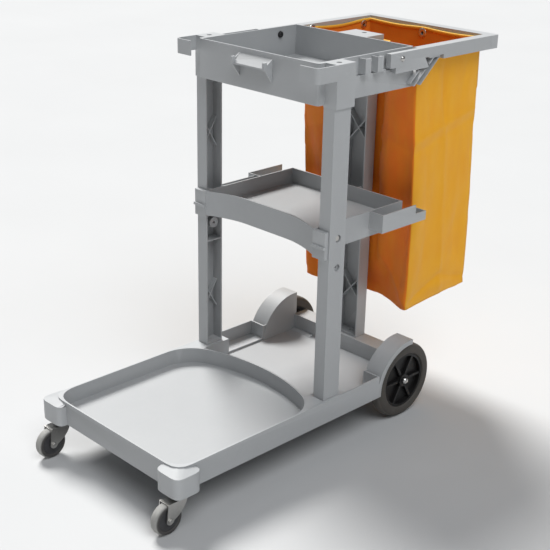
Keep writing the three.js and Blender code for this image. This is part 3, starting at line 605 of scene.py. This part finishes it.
stud_names = ("left_front", "left_rear", "right_front", "right_rear", "back")
stud_places = [middle(f"bag_stud_{name}")[0] for name in stud_names]
bag = placed("waste_bag", shell, "bag_lid")
crease_layer = bag.data.attributes.new("crease_edge", "FLOAT", "EDGE")
for edge in bag.data.edges:
    first, second = (bag.data.vertices[v].co for v in edge.vertices)
    upright = abs(first.z - second.z) > 0.005
    share = (first.z - bag_low.z) / (bag_high.z - bag_low.z)
    outer_corner = abs(abs(first.x) - foot_half) < bag_taper + snug and (
        abs(first.y - front_line(foot_half, share)) < snug
        or first.y > mix(foot_back, mouth_back, share) - snug
    )
    flat_low = abs(first.z - second.z) < 1e-5 and first.z < bag_low.z + snug
    along_foot = flat_low and on_foot_outline((first + second) / 2)
    crease_layer.data[edge.index].value = 0.8 if (upright and outer_corner) or along_foot else 0.0

# The filled cloth settles on its studs; the hem is stiffer than the rest.
stud_grip, hem_band = 0.022, 0.019
held = bag.vertex_groups.new(name="held")
for vertex in bag.data.vertices:
    near = min((vertex.co - place).length for place in stud_places)
    if near < stud_grip:
        held.add([vertex.index], 1.0, "REPLACE")
    elif vertex.co.z > bag_high.z - hem_band:
        held.add([vertex.index], 0.6, "REPLACE")
settle = bag.modifiers.new("settle", "CLOTH")
settle.settings.quality = 6
settle.settings.mass = 0.25
settle.settings.tension_stiffness = 60
settle.settings.compression_stiffness = 60
settle.settings.shear_stiffness = 30
settle.settings.bending_stiffness = 4
settle.settings.vertex_group_mass = "held"
settle.settings.effector_weights.gravity = 0.6
settle.settings.use_pressure = True
settle.settings.uniform_pressure_force = 0.25
settle.collision_settings.use_collision = False
settle_steps = 24
settle.point_cache.frame_end = settle_steps
for step in range(1, settle_steps + 1):
    bpy.context.scene.frame_set(step)
settled = bag.evaluated_get(bpy.context.evaluated_depsgraph_get()).data
farthest = 0.012
for vertex, now in zip(bag.data.vertices, [v.co.copy() for v in settled.vertices]):
    moved = now - vertex.co
    if moved.length > farthest:
        moved *= farthest / moved.length
    vertex.co += moved
bag.modifiers.remove(settle)
bpy.context.scene.frame_set(1)


def made_real(piece):
    """Turns a piece's modifiers into its own mesh."""
    whole = bpy.data.meshes.new_from_object(piece.evaluated_get(bpy.context.evaluated_depsgraph_get()))
    piece.modifiers.clear()
    piece.data = whole


finer = bag.modifiers.new("finer", "SUBSURF")
finer.levels = 1
finer.render_levels = 1
made_real(bag)

# Creases as (face, start, end, height, width): start and end are (share of the face's width from the
# front or the left, share of its height from the foot); a height below 0 is a valley.
packing_creases = [
    ("side", (0.44, 1.0), (0.50, 0.70), -0.0065, 0.013),
    ("side", (0.50, 0.70), (0.56, 0.0), 0.0070, 0.020),
    ("side", (0.0, 0.66), (1.0, 0.74), 0.0048, 0.010),
    ("side", (0.0, 0.62), (1.0, 0.70), -0.0032, 0.012),
    ("side", (0.0, 0.01), (0.54, 0.09), -0.0060, 0.011),
    ("side", (1.0, 0.02), (0.56, 0.09), -0.0060, 0.011),
    ("side", (0.22, 0.62), (0.30, 0.12), -0.0026, 0.018),
    ("side", (0.80, 0.70), (0.78, 0.15), -0.0026, 0.018),
    ("side", (0.16, 0.97), (0.26, 0.72), -0.0026, 0.014),
    ("side", (0.84, 0.97), (0.74, 0.80), -0.0022, 0.014),
    ("front", (0.0, 0.17), (0.24, 0.01), 0.0050, 0.010),
    ("front", (0.72, 0.18), (0.98, 0.01), 0.0050, 0.010),
    ("front", (0.0, 0.62), (0.24, 0.66), -0.0030, 0.012),
    ("front", (1.0, 0.62), (0.76, 0.66), -0.0030, 0.012),
    ("back", (0.0, 0.66), (1.0, 0.66), -0.0040, 0.014),
    ("back", (0.5, 0.94), (0.5, 0.0), 0.0040, 0.020),
    ("back", (0.25, 0.92), (0.27, 0.05), -0.0026, 0.018),
    ("back", (0.75, 0.92), (0.73, 0.05), -0.0026, 0.018),
]


def distance_to(point, start, end):
    line = end - start
    share = min(1.0, max(0.0, (point - start).dot(line) / line.length_squared))
    return (point - start - line * share).length


def crease_height(face, across, up, width, tall):
    height = 0.0
    for wanted, start, end, size, reach in packing_creases:
        if wanted == face:
            away = distance_to(
                Vector((across * width, up * tall)),
                Vector((start[0] * width, start[1] * tall)),
                Vector((end[0] * width, end[1] * tall)),
            )
            height += size * math.exp(-away / reach)
    return height


bag_tall = bag_high.z - bag_low.z
post_clearance = 0.0065
post_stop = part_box("rear_post")[1][1] + post_clearance
ripple_height, crumple_height = 0.0042, 0.0013
hem_straight, hem_release = 0.03, 0.085
corner_run = 0.25
foot_rise = 0.016
normals = [v.normal.copy() for v in bag.data.vertices]
for vertex, normal in zip(bag.data.vertices, normals):
    spot = vertex.co
    up = min(1.0, max(0.0, (spot.z - bag_low.z) / bag_tall))
    near_front = mix(foot_front, mouth_front, up)
    near_back = mix(foot_back, mouth_back, up)
    along = (spot.y - near_front) / (near_back - near_front)
    across = (spot.x + foot_half) / (2 * foot_half)
    ripple = noise.noise(Vector((spot.x * 9, spot.y * 11, spot.z * 2.6))) * ripple_height
    crumple = noise.noise(Vector((spot.x * 34 + 7, spot.y * 36, spot.z * 17))) * crumple_height
    height = ripple + crumple
    if abs(normal.x) > 0.6:
        height += crease_height("side", along, up, near_back - near_front, bag_tall)
    elif normal.y < -0.5:
        height += crease_height("front", across, up, 2 * foot_half, bag_tall)
    elif normal.y > 0.5:
        height += crease_height("back", across, up, 2 * foot_half, bag_tall)
    # The hem is held straight between the studs and clear of the frame's arms.
    free = 1 - ease(bag_high.z - hem_release, bag_high.z - hem_straight, spot.z)
    from_corner = min(abs(along), abs(1 - along))
    away_from_corner = min(1.0, 0.25 + 12 * from_corner * (near_back - near_front) / corner_run)
    near_foot = 0.25 + 0.75 * ease(0.0, 0.05, up)
    calm = away_from_corner if abs(normal.x) > 0.6 else 1.0
    vertex.co += normal * height * near_foot * (0.12 + 0.88 * free) * calm
    # The recess stays clear of the rear post and of its socket above it.
    if abs(spot.x) < recess_half and spot.y < bag_low.y + bag_tall / 4:
        vertex.co.y = max(vertex.co.y, mix(post_stop, recess_line, 0.2))
    # The foot hangs lowest at the front corners and rises to the rear.
    lift = foot_rise * max(0.0, along) * (1 - ease(0.0, 0.16, up))
    vertex.co.z += lift

hem_height = 0.008
hem_loop = []
rim = bmesh.new()
rim.from_mesh(bag.data)
rim_edges = [e for e in rim.edges if e.is_boundary]
start_vertex = rim_edges[0].verts[0]
walk, edge = start_vertex, rim_edges[0]
while True:
    hem_loop.append((walk.co.copy(), walk.normal.copy()))
    walk = edge.other_vert(walk)
    if walk == start_vertex:
        break
    edge = next(e for e in walk.link_edges if e.is_boundary and e != edge)
rim.free()

skin = bag.modifiers.new("skin", "SOLIDIFY")
skin.thickness = cloth_thick
skin.offset = -1
skin.use_rim = True
skin.material_offset = 1
skin.use_even_offset = True


def coated_cloth(name, side_tone, front_shade_and_mottle_tone, shade, inside=False):
    cloth = Finish(name, sheen=0.08, specular=0.22)
    facing = cloth.node("TexCoord", {}, {})["Normal"]
    parts = cloth.node("SeparateXYZ", {}, {"Vector": facing})
    # Outside, faces turned towards -Y take the front tone, a darker and redder orange: painted shade on the
    # front panels. Inside, the same tone is laid on as a random mottle.
    front = (0 - parts["Y"]).between(0.35, 0.75) if not inside else cloth.cloudy(2) * 0.4
    upright = cloth.threads("Z", 320.0)
    sloping = cloth.threads("DIAGONAL", 300.0)
    cloud = cloth.cloudy(11, 5, 0.6)
    streaks = cloth.cloudy(1, 4, 0.6, cloth.stretched(38, 38, 7))
    wrinkle = cloth.cloudy(1, 6, 0.62, cloth.stretched(70, 70, 38))
    crease_wear = wrinkle.between(0.62, 0.74)
    base = cloth.blend(front, side_tone, front_shade_and_mottle_tone)
    base = cloth.blend((cloud * 0.5 + streaks * 0.5).between(0.3, 0.75) * 0.5, base, shade)
    base = cloth.blend(crease_wear * 0.16, base, (1.0, 0.60, 0.08))
    height = upright * 0.10 + sloping * 0.10 + streaks * 0.35 + wrinkle * 0.45
    return cloth.surface(base, cloud * 0.16 + 0.42 + upright * 0.06, height, 0.0011)


# The outer cloth's second colour is painted shade for the bag's front panels.
orange_out = coated_cloth("orange_cloth", (0.98, 0.47, 0.018), (0.94, 0.19, 0.012), (0.92, 0.36, 0.014))
# The inner face of the same cloth is painted a darker, redder orange than the outer face: painted shade
# inside the bag.
orange_in = coated_cloth("orange_inside_painted_shade", (0.86, 0.30, 0.024), (0.74, 0.22, 0.02), (0.74, 0.22, 0.02), True)
bag.data.materials.clear()
bag.data.materials.append(orange_out)
bag.data.materials.append(orange_in)
made_real(bag)
for face in bag.data.polygons:
    face.use_smooth = True
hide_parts("bag")

# The hem is the same cloth turned over a tape and stitched: twice as thick, and coloured a lighter yellow, in
# part its own colour and in part a painted highlight along its lit top fold.
hem_thick = 0.0014
hem_mesh = bmesh.new()
hem_profile = [
    (hem_thick, -hem_height),
    (hem_thick, -0.002),
    (hem_thick * 0.6, -0.0004),
    (-cloth_thick * 0.5, 0.0004),
    (-cloth_thick - hem_thick * 0.6, -0.0004),
    (-cloth_thick - hem_thick, -0.002),
    (-cloth_thick - hem_thick, -hem_height),
]
hem_rings = []
for place, normal in hem_loop:
    out = Vector((normal.x, normal.y, 0)).normalized()
    hem_rings.append([hem_mesh.verts.new(place + out * o + Vector((0, 0, d))) for o, d in hem_profile])
for index, here in enumerate(hem_rings):
    there = hem_rings[(index + 1) % len(hem_rings)]
    for i in range(len(hem_profile)):
        j = (i + 1) % len(hem_profile)
        hem_mesh.faces.new((here[i], here[j], there[j], there[i]))
bmesh.ops.recalc_face_normals(hem_mesh, faces=hem_mesh.faces)
for face in hem_mesh.faces:
    face.smooth = True
# The hem's lighter yellow is partly its own colour and partly a painted highlight; its darker front tone is
# painted shade.
hem_yellow_and_highlight = coated_cloth("hem_yellow_and_highlight", (1.0, 0.60, 0.06), (0.98, 0.52, 0.05), (0.96, 0.5, 0.04))
bag_hem = placed("bag_hem", hem_mesh, "bag_lid", hem_yellow_and_highlight)

# Each stud is a nickel cap with a sunk centre, through an eyelet that is clenched in the cloth. The faces of
# the sunk centre carry a near-black finish: a painted shadow in the hole.
nickel = plated("eyelet_nickel", (0.80, 0.79, 0.77), 0.22)
painted_hole_shadow = black_moulding("eyelet_shadow", (0.02, 0.018, 0.016), 0.5)
eyelet_hole = 0.0037
for name, place in zip(stud_names, stud_places):
    low, high = (Vector(corner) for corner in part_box(f"bag_stud_{name}"))
    size = (high.z - low.z) / 2
    inward = Vector((0, -1, 0)) if name == "back" else Vector((-1 if name.startswith("right") else 1, 0, 0))
    side_x = low.x if inward.x < 0 else high.x
    face = Vector((side_x if inward.x else place.x, low.y if inward.y else place.y, place.z))
    head = [
        (0.0, 0.0045), (0.0, size * 0.55), (0.0002, size * 0.72), (0.0, size * 0.88), (-0.0006, size * 0.97),
        (-0.0014, size), (-0.002, size * 0.97), (-0.002, 0.0036), (-0.0062, 0.0035), (-0.0062, 0.0001),
        (-0.0012, 0.0001), (-0.0012, 0.0036),
    ]
    cap = lathed(f"stud_{name}", head, face, 48, "bag_lid", nickel, inward)
    # The faces near the axis, inside the sunk centre, take the painted shadow.
    cap.data.materials.append(painted_hole_shadow)
    for polygon in cap.data.polygons:
        away = polygon.center - face
        polygon.material_index = int((away - inward * away.dot(inward)).length < eyelet_hole)
    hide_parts(f"bag_stud_{name}")

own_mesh(bag)
